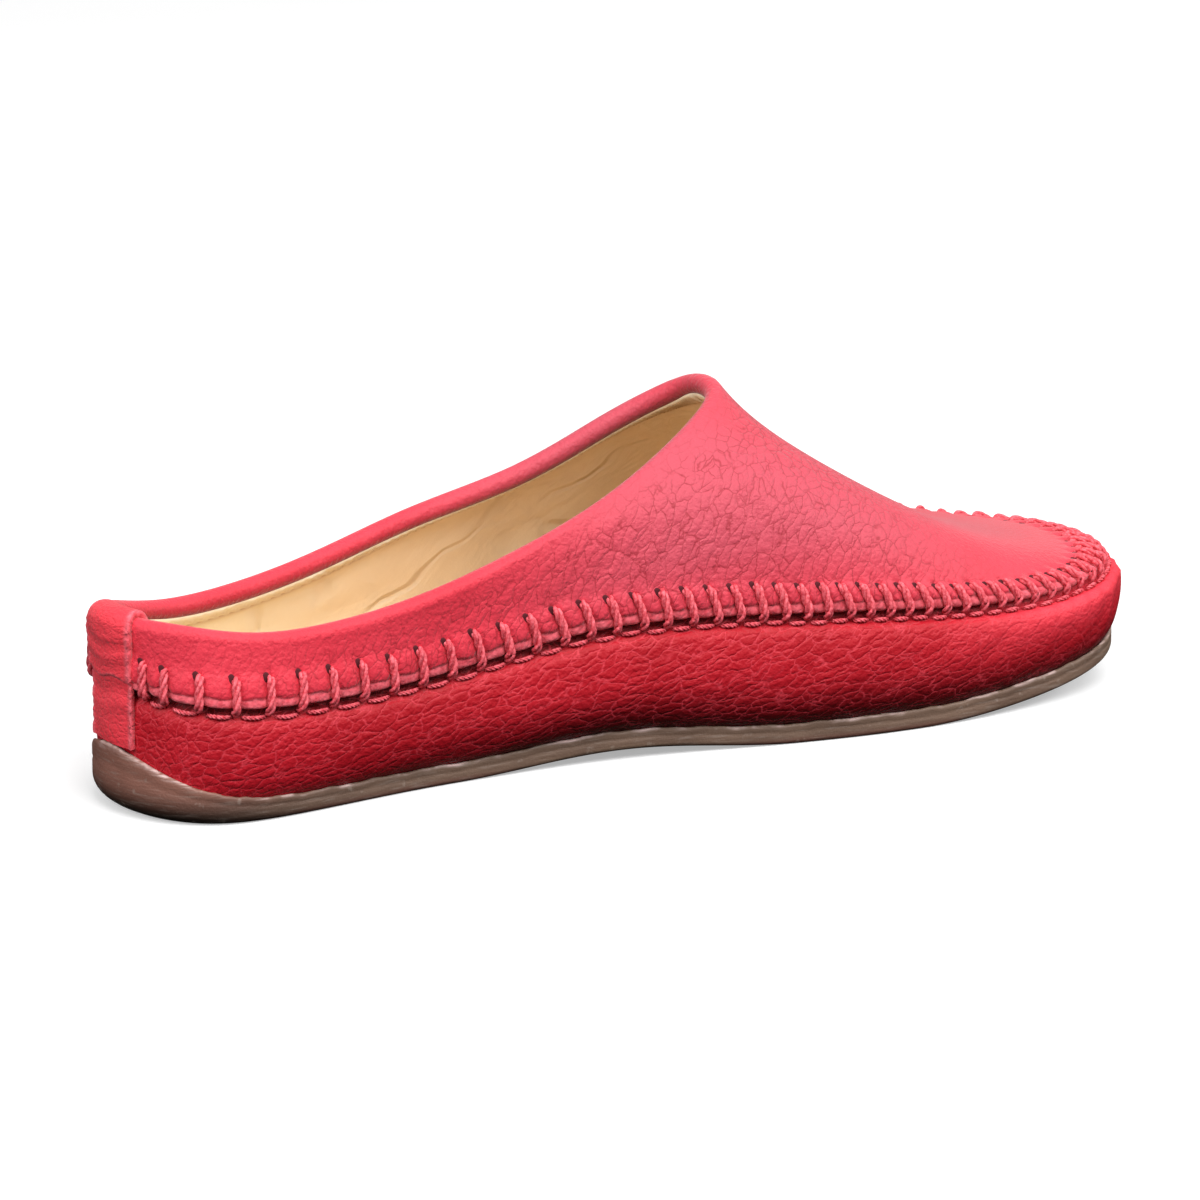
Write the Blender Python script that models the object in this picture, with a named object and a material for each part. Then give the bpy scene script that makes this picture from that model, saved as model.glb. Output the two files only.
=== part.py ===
"""A left moccasin mule: a hollow leather upper with an overlapping apron, a moulded rubber outsole that
turns up round the heel, a leather-covered insole, and a back strip folded over the collar.

The frame: +X points to the toe, +Y to the outer (lateral) side of the foot, +Z up. The floor is Z = 0, and
the origin lies under the middle of the shoe's bounding box.
"""

from collections import namedtuple
from math import pi, radians

import bpy
import numpy as np

MM = 0.001

# Driving sizes of the last and the upper
LENGTH = 256 * MM
BALL_WIDTH = 92 * MM
INSTEP_HEIGHT = 77 * MM
HEEL_HEIGHT = 46 * MM
SEAM_HEIGHT = 35 * MM
SWELL_HEIGHT = 13 * MM
TUCK = 8 * MM
SEAM_INSET = 3 * MM
SHOULDER = 3.2 * MM
SHOULDER_PLACE = 0.07

# Leather
WALL = 2.6 * MM
COLLAR_THICKNESS = 4.6 * MM
COLLAR_DEPTH = 9 * MM
APRON_STEP = 1.3 * MM

# Outsole
SOLE_THICKNESS = 4.0 * MM
SOLE_CORNER = 1.2 * MM
LIP_HEIGHT = 0.7 * MM
BUMPER_HEIGHT = 14 * MM
BUMPER_REACH = 9 * MM
BUMPER_THICKNESS = 0.8 * MM
BUMPER_CORNER = 9.3 * MM
CORNER_REACH = 12 * MM
LIP_THICKNESS = 0.8 * MM
TOE_SPRING = 9.5 * MM
ARCH_LIFT = 3.0 * MM

# Insole and back strip
INSOLE_THICKNESS = 3.0 * MM
INSOLE_EDGE = 1.5 * MM
STRIP_WIDTH = 16 * MM
STRIP_THICKNESS = 1.1 * MM
TAB_THICKNESS = 0.6 * MM
TAB_LENGTH = 11 * MM
TAB_INSIDE = 10 * MM
TAB_EDGE = 0.8 * MM
GAP = 0.3 * MM

# One row for each place round the last, from the back of the heel along the inner (medial) side to the
# toe and back along the outer side. The shares are of these sizes:
#   along, rim_along          LENGTH, from the back of the heel
#   across, rim_across        half of BALL_WIDTH, negative on the inner side
#   tuck                      TUCK, how far the edge on the sole lies inside the widest line
#   seam_in, seam_up          SEAM_INSET and SEAM_HEIGHT, of the apron's lower edge
#   rim_up                    from HEEL_HEIGHT (0) to INSTEP_HEIGHT (1), of the collar's edge
#   full                      how round the leather is between seam and rim: 0 is straight
#   shoulder                  SHOULDER, how high the apron rises just inside the seam; it is highest at
#                             SHOULDER_PLACE of the way from the seam to the rim
Post = namedtuple(
    "Post", "name along across tuck seam_in seam_up rim_along rim_across rim_up full shoulder"
)
POSTS = (
    Post("heel back", 0.009, 0.00, 0.55, 0.0, 0.86, 0.004, 0.00, -0.11, 0.0, 0.0),
    Post("heel corner, inner", 0.044, -0.45, 0.60, 0.1, 0.80, 0.044, -0.39, -0.12, 0.0, 0.0),
    Post("heel, inner", 0.131, -0.60, 0.75, 0.3, 0.75, 0.128, -0.54, -0.20, 0.1, 0.0),
    Post("waist back, inner", 0.274, -0.59, 1.05, 0.5, 0.78, 0.255, -0.57, -0.11, 0.3, 0.0),
    Post("waist, inner", 0.420, -0.66, 1.13, 0.7, 0.92, 0.369, -0.56, 0.17, 0.7, 0.0),
    Post("waist front, inner", 0.557, -0.80, 0.98, 0.8, 0.92, 0.461, -0.50, 0.47, 1.1, 0.0),
    Post("ball, inner", 0.698, -0.95, 0.85, 1.0, 0.85, 0.528, -0.41, 0.71, 0.9, 0.1),
    Post("big toe", 0.845, -0.95, 0.65, 1.1, 0.77, 0.578, -0.30, 0.88, 0.2, 0.2),
    Post("toe corner, inner", 0.965, -0.73, 0.50, 1.5, 0.80, 0.608, -0.17, 0.97, -0.6, 0.2),
    Post("toe tip", 1.005, -0.07, 0.50, 1.3, 0.79, 0.617, 0.00, 1.00, -1.0, 0.5),
    Post("toe corner, outer", 0.950, 0.51, 0.55, 1.1, 0.72, 0.612, 0.17, 0.96, -0.7, 1.0),
    Post("little toe", 0.841, 0.85, 0.80, 1.0, 0.79, 0.590, 0.30, 0.86, 0.3, 0.9),
    Post("ball, outer", 0.700, 1.04, 0.95, 1.0, 0.90, 0.540, 0.41, 0.645, 0.9, 0.4),
    Post("waist front, outer", 0.560, 1.00, 0.90, 0.8, 0.93, 0.463, 0.50, 0.35, 0.9, 0.1),
    Post("waist, outer", 0.420, 0.88, 0.85, 0.7, 0.89, 0.362, 0.57, 0.12, 0.6, 0.0),
    Post("waist back, outer", 0.270, 0.78, 0.78, 0.5, 0.79, 0.246, 0.57, -0.14, 0.3, 0.0),
    Post("heel, outer", 0.130, 0.68, 0.70, 0.3, 0.76, 0.121, 0.53, -0.26, 0.1, 0.0),
    Post("heel corner, outer", 0.044, 0.47, 0.60, 0.1, 0.80, 0.040, 0.39, -0.16, 0.0, 0.0),
)
STATIONS_PER_POST = 5
STATIONS = len(POSTS) * STATIONS_PER_POST
RUNG_CELLS = 6

# Rows up the wall: 0 is the edge on the sole, 1 the widest line, 2 the seam, 3 the collar's rim. The lists
# below give the rows, or the shares of the way, at which each solid has a loop of points.
SOLE_ROW, WIDEST_ROW, UNDER_SEAM_ROW, SEAM_ROW, RIM_ROW = 0.0, 1.0, 1.97, 2.0, 3.0
BELOW_SEAM = (0.0, 0.22, 0.45, 0.7, 1.0, 1.5, 1.8)
ABOVE_SEAM = (2.0, 2.05, 2.12, 2.2, 2.35, 2.5, 2.65, 2.8, 2.92, 3.0)
INSIDE = (3.0, 2.85, 2.65, 2.45, 2.25, 2.12, 2.0, 1.6, 1.2, 0.8, 0.4, 0.0)
ROLL_STEPS = 5
LIP_ROWS = (0.0, 0.18, 0.4, 0.7, 1.0)
CORNER_STEPS = 4
INSOLE_ROWS = (0.4,)
STRIP_COLUMNS = 9
STRIP_SHARES = (0, 0.1, 0.2, 0.32, 0.44, 0.55, 0.63, 0.66, 0.69, 0.76, 0.84, 0.92, 1.0)
TAB_SHARES = (0, 0.25, 0.5, 0.75, 1.0)

# The strip starts this far above the bumper in rows, and lies within this share of the way round
STRIP_LIFT = 0.03
HEEL_REACH = 0.06


def spline_through(values, places):
    """A closed curve through the rows of values, with smooth bends, read at places from 0 to 1."""
    count = len(values)
    rows = np.arange(count)
    bends = np.zeros((count, count))
    bends[rows, rows] = 4
    bends[rows, (rows + 1) % count] = 1
    bends[rows, (rows - 1) % count] = 1
    turn = 6 * (np.roll(values, -1, 0) - 2 * values + np.roll(values, 1, 0))
    second = np.linalg.solve(bends, turn)
    place = (np.asarray(places) % 1.0) * count
    left = np.floor(place).astype(int) % count
    right = (left + 1) % count
    b = (place - np.floor(place))[..., None]
    a = 1 - b
    bulge = (a**3 - a) * second[left] + (b**3 - b) * second[right]
    return a * values[left] + b * values[right] + bulge / 6


def smooth_step(value):
    t = np.clip(value, 0, 1)
    return t * t * (3 - 2 * t)


COLUMNS = np.array([post[1:] for post in POSTS])
NAMES = Post._fields[1:]


def posts_at(places):
    """Every column of the table at these places round the last, by name."""
    read = spline_through(COLUMNS, places)
    return {name: read[..., i] for i, name in enumerate(NAMES)}


def underside(x, y):
    """Height of the outsole's underside: flat under heel and ball, raised at the arch and the toe."""
    share = x / LENGTH
    arch_span = (share - 0.30) / (0.62 - 0.30)
    arch = np.sin(pi * np.clip(arch_span, 0, 1)) ** 2
    inner = np.clip(0.5 - y / BALL_WIDTH, 0, 1)
    spring = np.clip((share - 0.74) / (1 - 0.74), 0, None) ** 1.7
    return ARCH_LIFT * arch * inner + TOE_SPRING * spring


def widest_line(places):
    """Plan points of the upper's widest line and the direction that points out of the shoe there."""
    step = 1e-4

    def plan(at):
        post = posts_at(at)
        return np.stack([post["along"] * LENGTH, post["across"] * BALL_WIDTH / 2], -1)

    tangent = plan(places + step) - plan(places - step)
    tangent /= np.linalg.norm(tangent, axis=-1, keepdims=True)
    outward = np.stack([tangent[..., 1], -tangent[..., 0]], -1)
    return plan(places), outward


def wall_point(places, rows):
    """The upper's outer face at places round the last and rows up the wall, without the apron's step."""
    places, rows = np.broadcast_arrays(places, rows)
    post = posts_at(places)
    plan, outward = widest_line(places)
    tuck = (post["tuck"] * TUCK)[..., None]
    foot = plan - tuck * outward
    foot_z = underside(foot[..., 0], foot[..., 1]) + SOLE_THICKNESS
    seam = plan - (post["seam_in"] * SEAM_INSET)[..., None] * outward
    seam_z = post["seam_up"] * SEAM_HEIGHT
    rim = np.stack([post["rim_along"] * LENGTH, post["rim_across"] * BALL_WIDTH / 2], -1)
    rim_z = HEEL_HEIGHT + post["rim_up"] * (INSTEP_HEIGHT - HEEL_HEIGHT)
    turn = np.clip(rows, 0, 1) * pi / 2
    low_plan = plan - tuck * (1 - np.sin(turn))[..., None] * outward
    low_z = foot_z + SWELL_HEIGHT * (1 - np.cos(turn))
    mid = np.clip(rows - 1, 0, 1)
    mid_plan = plan + (seam - plan) * (mid**2)[..., None]
    mid_z = foot_z + SWELL_HEIGHT + (seam_z - foot_z - SWELL_HEIGHT) * mid
    up = np.clip(rows - 2, 0, 1)
    bow = post["full"] * up * (1 - up) / 2
    up_plan = seam + (rim - seam) * (up - bow)[..., None]
    hump = up / SHOULDER_PLACE * np.exp(1 - up / SHOULDER_PLACE)
    up_z = seam_z + (rim_z - seam_z) * (up + bow) + post["shoulder"] * SHOULDER * hump
    low, high = (rows <= 1)[..., None], (rows >= 2)[..., None]
    flat = np.where(low, low_plan, np.where(high, up_plan, mid_plan))
    height = np.where(rows <= 1, low_z, np.where(rows >= 2, up_z, mid_z))
    return np.concatenate([flat, height[..., None]], -1)


def wall_frame(places, rows):
    """The outer face's points, its outward normals and its upward tangents."""
    place_step, row_step = 1e-4, 1e-3
    places, rows = np.broadcast_arrays(places, rows)
    lower = np.clip(rows - row_step, SOLE_ROW, RIM_ROW)
    upper = np.clip(rows + row_step, SOLE_ROW, RIM_ROW)
    up = wall_point(places, upper) - wall_point(places, lower)
    around = wall_point(places + place_step, rows) - wall_point(places - place_step, rows)
    up /= np.linalg.norm(up, axis=-1, keepdims=True)
    normal = np.cross(around, up)
    normal /= np.linalg.norm(normal, axis=-1, keepdims=True)
    return wall_point(places, rows), normal, up


def strips_between(loops, count):
    """Faces between neighbouring closed loops, for points stored loop after loop."""
    faces = []
    for i in range(loops - 1):
        for k in range(count):
            n = (k + 1) % count
            faces.append((i * count + k, i * count + n, (i + 1) * count + n, (i + 1) * count + k))
    return faces


def ring_of_walls(name, loops, material):
    """A hollow wall: closed loops, each joined to the next and the last to the first."""
    count = len(loops[0])
    faces = strips_between(len(loops), count)
    last = (len(loops) - 1) * count
    for k in range(count):
        n = (k + 1) % count
        faces.append((last + k, last + n, n, k))
    return finished_object(name, np.concatenate(loops), faces, material)


def ladder(loop, height_at):
    """Fills a loop round the shoe with rungs from its inner to its outer side.

    It gives the points inside the loop and a grid of indices, where an index under len(loop) is a point
    of the loop itself. height_at gives the heights of a rung's points from their plan, their place across
    (-1 to 1) and the heights of a straight rung.
    """
    count = len(loop)
    half = count // 2
    shares = np.arange(1, RUNG_CELLS) / RUNG_CELLS
    inside, grid = [], []
    for j in range(1, half):
        a, b = loop[j], loop[count - j]
        rung = a + (b - a) * shares[:, None]
        across = 2 * shares - 1
        rung[:, 2] = height_at(rung, across, a[2] + (b[2] - a[2]) * shares)
        first = count + len(inside)
        inside.extend(rung)
        grid.append([j, *range(first, first + RUNG_CELLS - 1), count - j])
    return np.array(inside), grid


def ladder_faces(grid, heel, toe):
    """Faces of a ladder, seen from above as counter-clockwise."""
    faces = []
    for near, far in zip(grid, grid[1:]):
        for k in range(RUNG_CELLS):
            faces.append((near[k], far[k], far[k + 1], near[k + 1]))
    for k in range(RUNG_CELLS):
        faces.append((heel, grid[0][k], grid[0][k + 1]))
        faces.append((toe, grid[-1][k + 1], grid[-1][k]))
    return faces


def capped_stack(name, loops, low_height, high_height, material):
    """A solid of closed loops from its bottom to its top, with a ladder across each end."""
    count = len(loops[0])
    faces = strips_between(len(loops), count)
    points = list(np.concatenate(loops))
    for loop, height_at, start, turned in (
        (loops[0], low_height, 0, True),
        (loops[-1], high_height, (len(loops) - 1) * count, False),
    ):
        inside, grid = ladder(loop, height_at)
        shift = len(points) - count
        points.extend(inside)
        grid = [[i + start if i < count else i + shift for i in rung] for rung in grid]
        cap = ladder_faces(grid, start, start + count // 2)
        faces.extend(face[::-1] if turned else face for face in cap)
    return finished_object(name, points, faces, material)


def slab_between(name, under, over, material):
    """A closed slab between two grids of points, where over lies outside under."""
    rows, columns = under.shape[:2]
    points = np.concatenate([under.reshape(-1, 3), over.reshape(-1, 3)])
    top = rows * columns
    faces = []
    for r in range(rows - 1):
        for c in range(columns - 1):
            a, b = r * columns + c, r * columns + c + 1
            d, e = a + columns, b + columns
            faces.append((a, d, e, b))
            faces.append((top + a, top + b, top + e, top + d))
    for c in range(columns - 1):
        a, b = c, c + 1
        faces.append((a, b, top + b, top + a))
        a, b = (rows - 1) * columns + c, (rows - 1) * columns + c + 1
        faces.append((b, a, top + a, top + b))
    for r in range(rows - 1):
        a, b = r * columns, (r + 1) * columns
        faces.append((b, a, top + a, top + b))
        a, b = a + columns - 1, b + columns - 1
        faces.append((a, b, top + b, top + a))
    return finished_object(name, points, faces, material)


def finished_object(name, points, faces, material, sharp=35):
    mesh = bpy.data.meshes.new(name)
    mesh.from_pydata([tuple(p) for p in points], [], faces)
    mesh.validate()
    mesh.materials.append(material)
    mesh.shade_smooth()
    mesh.set_sharp_from_angle(angle=radians(sharp))
    item = bpy.data.objects.new(name, mesh)
    bpy.context.scene.collection.objects.link(item)
    return item


def plain_material(name, colour, roughness):
    material = bpy.data.materials.new(name)
    material.use_nodes = True
    shader = material.node_tree.nodes["Principled BSDF"]
    shader.inputs["Base Color"].default_value = (*colour, 1)
    shader.inputs["Roughness"].default_value = roughness
    shader.inputs["Metallic"].default_value = 0
    return material


def round_places():
    return np.arange(STATIONS) / STATIONS


def wall_thickness(rows_from_rim):
    """Thickness of the wall at a distance below the rim: padded at the collar."""
    return WALL + (COLLAR_THICKNESS - WALL) * (1 - smooth_step(rows_from_rim / COLLAR_DEPTH))


def rim_distance(places, row):
    """Distance from the wall's point down from the rim."""
    return np.linalg.norm(wall_point(places, row) - wall_point(places, RIM_ROW), axis=-1)


def roll_points(places, thickness, extra=0.0):
    """Loops over the collar's rounded edge, from its outer to its inner face."""
    point, normal, up = wall_frame(places, RIM_ROW)
    radius = thickness / 2
    centre = point - normal * radius
    loops = []
    for k in range(1, ROLL_STEPS):
        turn = pi * k / ROLL_STEPS
        loops.append(centre + (radius + extra) * (np.cos(turn) * normal + np.sin(turn) * up))
    return loops


def make_upper(material):
    """The upper: one hollow wall, open at the collar and underneath, with the apron's edge as a step."""
    places = round_places()
    loops = []
    for row in BELOW_SEAM:
        loops.append(wall_point(places, row))
    _, seam_normal, _ = wall_frame(places, SEAM_ROW)
    loops.append(wall_point(places, UNDER_SEAM_ROW) - APRON_STEP * seam_normal)
    for row in ABOVE_SEAM:
        loops.append(wall_point(places, row))
    loops.extend(roll_points(places, COLLAR_THICKNESS))
    for row in INSIDE:
        point, normal, _ = wall_frame(places, row)
        thick = wall_thickness(rim_distance(places, row))[:, None]
        loops.append(point - thick * normal)
    return ring_of_walls("upper", loops, material)


def heel_share(x, reach):
    """How strongly the heel's bumper shows at a distance from the back: 1 at the back, fading forward."""
    return np.exp(-np.clip(x, 0, None) / reach)


def lip_row(places):
    """The row up the wall that the outsole's lip reaches, highest at the back of the heel."""
    plan, _ = widest_line(places)
    lip = LIP_HEIGHT + BUMPER_HEIGHT * heel_share(plan[..., 0], BUMPER_REACH)
    return np.arccos(1 - lip / SWELL_HEIGHT) / (pi / 2)


def outsole_loops(places):
    """Loops of the outsole from its underside round the edge to the lip and down inside the lip."""
    _, outward = widest_line(places)
    outward = np.column_stack([outward, np.zeros(len(places))])
    top_row = lip_row(places)
    inner = []
    for share in LIP_ROWS:
        point, normal, _ = wall_frame(places, share * top_row)
        inner.append(point + GAP * normal)
    at_heel = heel_share(inner[0][:, 0], CORNER_REACH)
    thick = LIP_THICKNESS + BUMPER_THICKNESS * at_heel
    side = inner[-1] + thick[:, None] * outward
    corner = SOLE_CORNER + BUMPER_CORNER * at_heel
    floor = underside(side[:, 0], side[:, 1])
    loops = []
    for k in range(CORNER_STEPS + 1):
        turn = pi / 2 * k / CORNER_STEPS
        point = side - (corner * (1 - np.sin(turn)))[:, None] * outward
        point[:, 2] = floor + corner * (1 - np.cos(turn))
        loops.append(point)
    loops[0][:, 2] = underside(loops[0][:, 0], loops[0][:, 1])
    return [*loops, side, *reversed(inner)]


def make_outsole(material):
    """The outsole: a slab with a lip that hugs the upper and turns up into a bumper at the heel."""

    def under_height(rung, *_):
        return underside(rung[:, 0], rung[:, 1])

    def top_height(rung, *_):
        return underside(rung[:, 0], rung[:, 1]) + SOLE_THICKNESS - GAP

    return capped_stack("outsole", outsole_loops(round_places()), under_height, top_height, material)


def make_insole(material):
    """The insole: it lies on the outsole, laps over the upper's turned-in edge and cups the foot."""
    places = round_places()
    _, outward = widest_line(places)
    outward = np.column_stack([outward, np.zeros(STATIONS)])
    foot = wall_point(places, SOLE_ROW) - GAP * outward
    step = foot.copy()
    step[:, 2] += WALL + GAP
    loops = [foot, step]
    for row in INSOLE_ROWS:
        point, normal, _ = wall_frame(places, row)
        loops.append(point - (WALL + GAP) * normal)
    rounded = loops[-1] - INSOLE_EDGE * outward
    rounded[:, 2] += INSOLE_EDGE / 3
    loops.append(rounded)

    def bottom_height(rung, *_):
        return underside(rung[:, 0], rung[:, 1]) + SOLE_THICKNESS

    def top_height(rung, across, straight):
        middle = underside(rung[:, 0], rung[:, 1]) + SOLE_THICKNESS + INSOLE_THICKNESS
        return middle + (straight - middle) * across**4

    return capped_stack("insole", loops, bottom_height, top_height, material)


def places_across_heel(row, across):
    """The places near the back of the heel where a row has these y values."""
    near = np.linspace(-HEEL_REACH, HEEL_REACH, 61)
    y = wall_point(near, np.full(len(near), row))[:, 1]
    return np.interp(-across, -y, near)


def make_back_strip(material):
    """The back strip: from the heel's bumper up the wall, over the collar and a little way down inside."""
    across = np.linspace(STRIP_WIDTH / 2, -STRIP_WIDTH / 2, STRIP_COLUMNS)
    under, over = [], []
    low = lip_row(places_across_heel(WIDEST_ROW, across)) + STRIP_LIFT
    for share in STRIP_SHARES:
        row = low + (RIM_ROW - low) * share
        places = places_across_heel(row[len(row) // 2], across)
        point, normal, _ = wall_frame(places, row)
        from_rim = np.linalg.norm(point - wall_point(places, RIM_ROW), axis=-1)
        doubled = smooth_step((TAB_LENGTH - from_rim) / TAB_EDGE + 1)
        thick = STRIP_THICKNESS + TAB_THICKNESS * doubled
        under.append(point + GAP * normal)
        over.append(point + (GAP + thick)[:, None] * normal)
    places = places_across_heel(RIM_ROW, across)
    full = STRIP_THICKNESS + TAB_THICKNESS
    under.extend(roll_points(places, COLLAR_THICKNESS, GAP))
    over.extend(roll_points(places, COLLAR_THICKNESS, GAP + full))
    for share in TAB_SHARES:
        span = RIM_ROW - SEAM_ROW
        height = rim_distance(places, SEAM_ROW)
        row = RIM_ROW - span * share * TAB_INSIDE / height
        point, normal, _ = wall_frame(places, row)
        inner = wall_thickness(rim_distance(places, row))[:, None]
        under.append(point - (inner + GAP) * normal)
        over.append(point - (inner + GAP + STRIP_THICKNESS) * normal)
    return slab_between("back_strip", np.array(under), np.array(over), material)


def centre_on_floor(items):
    """Moves the meshes so that the origin lies under the middle of their bounding box."""
    corners = np.array([v.co for item in items for v in item.data.vertices])
    low, high = corners.min(0), corners.max(0)
    middle = (low + high) / 2
    for item in items:
        for vertex in item.data.vertices:
            vertex.co.x -= middle[0]
            vertex.co.y -= middle[1]
            vertex.co.z -= low[2]


def build():
    for item in list(bpy.data.objects):
        bpy.data.objects.remove(item)
    red = plain_material("red_leather", (0.62, 0.02, 0.05), 0.5)
    tan = plain_material("tan_leather", (0.60, 0.38, 0.18), 0.6)
    gum = plain_material("gum_rubber", (0.20, 0.15, 0.12), 0.55)
    items = [make_upper(red), make_outsole(gum), make_insole(tan), make_back_strip(red)]
    centre_on_floor(items)


build()
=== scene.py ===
# %% [markdown]
# # A left moccasin mule in red leather
#
# This lesson dresses a plain packed model of a shoe: a pebbled leather upper sewn round the toe by
# hand, a tan lining and a thin moulded sole. The solids hold the sizes. Each step makes one layer
# of the real shoe as its own mesh, from the same table of sizes, with a material made of shader
# nodes.

# %% Load the frame
from collections import namedtuple
from math import cos, pi, radians, sin

import bpy
import numpy as np
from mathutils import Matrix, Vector


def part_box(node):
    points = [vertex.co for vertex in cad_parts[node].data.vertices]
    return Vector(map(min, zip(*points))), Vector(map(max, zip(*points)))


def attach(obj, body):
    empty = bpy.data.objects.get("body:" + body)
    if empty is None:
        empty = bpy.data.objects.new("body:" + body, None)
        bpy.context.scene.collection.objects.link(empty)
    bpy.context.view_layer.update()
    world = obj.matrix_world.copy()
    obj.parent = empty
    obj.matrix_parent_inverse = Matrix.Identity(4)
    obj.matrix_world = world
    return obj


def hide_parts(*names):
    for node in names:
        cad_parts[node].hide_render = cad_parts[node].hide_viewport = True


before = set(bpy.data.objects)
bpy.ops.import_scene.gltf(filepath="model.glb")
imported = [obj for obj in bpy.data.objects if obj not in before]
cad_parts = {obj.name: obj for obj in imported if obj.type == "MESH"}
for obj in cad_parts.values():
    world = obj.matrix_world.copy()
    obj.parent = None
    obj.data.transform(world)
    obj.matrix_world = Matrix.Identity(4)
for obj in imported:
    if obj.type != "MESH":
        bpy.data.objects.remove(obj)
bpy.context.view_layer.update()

MM = 0.001

# %% [markdown]
# ## The last, as a table
#
# A last is the foot-shaped block that a shoe is built on. A sculpted mesh could copy it, but
# nothing could be measured from it. So the form is a table: one row for each place round the shoe,
# in shares of a few named sizes, with a smooth closed curve through each column. Every layer reads
# this table, so the layers lie on each other without gaps.

# %% Sizes and the table
LENGTH = 256 * MM
BALL_WIDTH = 92 * MM
INSTEP_HEIGHT = 77 * MM
HEEL_HEIGHT = 46 * MM
SEAM_HEIGHT = 35 * MM
SWELL_HEIGHT = 13 * MM
TUCK = 8 * MM
SEAM_INSET = 3 * MM
SHOULDER = 3.2 * MM
SHOULDER_PLACE = 0.07
WALL = 2.6 * MM
COLLAR_THICKNESS = 4.6 * MM
COLLAR_DEPTH = 9 * MM
SOLE_THICKNESS = 4.0 * MM
TOE_SPRING = 9.5 * MM
ARCH_LIFT = 3.0 * MM
GAP = 0.3 * MM

Post = namedtuple(
    "Post", "name along across tuck seam_in seam_up rim_along rim_across rim_up full shoulder"
)
POSTS = (
    Post("heel back", 0.009, 0.00, 0.55, 0.0, 0.86, 0.004, 0.00, -0.11, 0.0, 0.0),
    Post("heel corner, inner", 0.044, -0.45, 0.60, 0.1, 0.80, 0.044, -0.39, -0.12, 0.0, 0.0),
    Post("heel, inner", 0.131, -0.60, 0.75, 0.3, 0.75, 0.128, -0.54, -0.20, 0.1, 0.0),
    Post("waist back, inner", 0.274, -0.59, 1.05, 0.5, 0.78, 0.255, -0.57, -0.11, 0.3, 0.0),
    Post("waist, inner", 0.420, -0.66, 1.13, 0.7, 0.92, 0.369, -0.56, 0.17, 0.7, 0.0),
    Post("waist front, inner", 0.557, -0.80, 0.98, 0.8, 0.92, 0.461, -0.50, 0.47, 1.1, 0.0),
    Post("ball, inner", 0.698, -0.95, 0.85, 1.0, 0.85, 0.528, -0.41, 0.71, 0.9, 0.1),
    Post("big toe", 0.845, -0.95, 0.65, 1.1, 0.77, 0.578, -0.30, 0.88, 0.2, 0.2),
    Post("toe corner, inner", 0.965, -0.73, 0.50, 1.5, 0.80, 0.608, -0.17, 0.97, -0.6, 0.2),
    Post("toe tip", 1.005, -0.07, 0.50, 1.3, 0.79, 0.617, 0.00, 1.00, -1.0, 0.5),
    Post("toe corner, outer", 0.950, 0.51, 0.55, 1.1, 0.72, 0.612, 0.17, 0.96, -0.7, 1.0),
    Post("little toe", 0.841, 0.85, 0.80, 1.0, 0.79, 0.590, 0.30, 0.86, 0.3, 0.9),
    Post("ball, outer", 0.700, 1.04, 0.95, 1.0, 0.90, 0.540, 0.41, 0.645, 0.9, 0.4),
    Post("waist front, outer", 0.560, 1.00, 0.90, 0.8, 0.93, 0.463, 0.50, 0.35, 0.9, 0.1),
    Post("waist, outer", 0.420, 0.88, 0.85, 0.7, 0.89, 0.362, 0.57, 0.12, 0.6, 0.0),
    Post("waist back, outer", 0.270, 0.78, 0.78, 0.5, 0.79, 0.246, 0.57, -0.14, 0.3, 0.0),
    Post("heel, outer", 0.130, 0.68, 0.70, 0.3, 0.76, 0.121, 0.53, -0.26, 0.1, 0.0),
    Post("heel corner, outer", 0.044, 0.47, 0.60, 0.1, 0.80, 0.040, 0.39, -0.16, 0.0, 0.0),
)
COLUMNS = np.array([post[1:] for post in POSTS])
NAMES = Post._fields[1:]
SOLE_ROW, WIDEST_ROW, SEAM_ROW, RIM_ROW = 0.0, 1.0, 2.0, 3.0
print(len(POSTS), "rows of sizes round the last")

# %% [markdown]
# ## Reading a point of the wall
#
# The upper's wall goes up in four rows: 0 where it meets the sole, 1 at its widest line, 2 at the
# seam and 3 at the collar. Curve objects could hold these rows, but a function can be asked for any
# point between them too, by its place round the shoe, from 0 to 1, and its row.

# %% Curves through the table
ARCH_START, ARCH_SPAN = 0.30, 0.32
SPRING_START, SPRING_BEND = 0.74, 1.7


def spline_through(values, places):
    """A closed curve through the rows of values, with smooth bends, read at places from 0 to 1."""
    count = len(values)
    rows = np.arange(count)
    bends = np.zeros((count, count))
    bends[rows, rows] = 4
    bends[rows, (rows + 1) % count] = 1
    bends[rows, (rows - 1) % count] = 1
    turn = 6 * (np.roll(values, -1, 0) - 2 * values + np.roll(values, 1, 0))
    second = np.linalg.solve(bends, turn)
    place = (np.asarray(places) % 1.0) * count
    left = np.floor(place).astype(int) % count
    right = (left + 1) % count
    b = (place - np.floor(place))[..., None]
    a = 1 - b
    bulge = (a**3 - a) * second[left] + (b**3 - b) * second[right]
    return a * values[left] + b * values[right] + bulge / 6


def smooth_step(value):
    t = np.clip(value, 0, 1)
    return t * t * (3 - 2 * t)


def posts_at(places):
    read = spline_through(COLUMNS, places)
    return {name: read[..., i] for i, name in enumerate(NAMES)}


def underside(x, y):
    """Height of the sole's underside: flat under heel and ball, raised at the arch and the toe."""
    share = x / LENGTH
    arch = np.sin(pi * np.clip((share - ARCH_START) / ARCH_SPAN, 0, 1)) ** 2
    inner = np.clip(0.5 - y / BALL_WIDTH, 0, 1)
    spring = np.clip((share - SPRING_START) / (1 - SPRING_START), 0, None) ** SPRING_BEND
    return ARCH_LIFT * arch * inner + TOE_SPRING * spring


print("the toe is raised by", round(underside(LENGTH, 0) / MM, 1), "mm")

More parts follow.
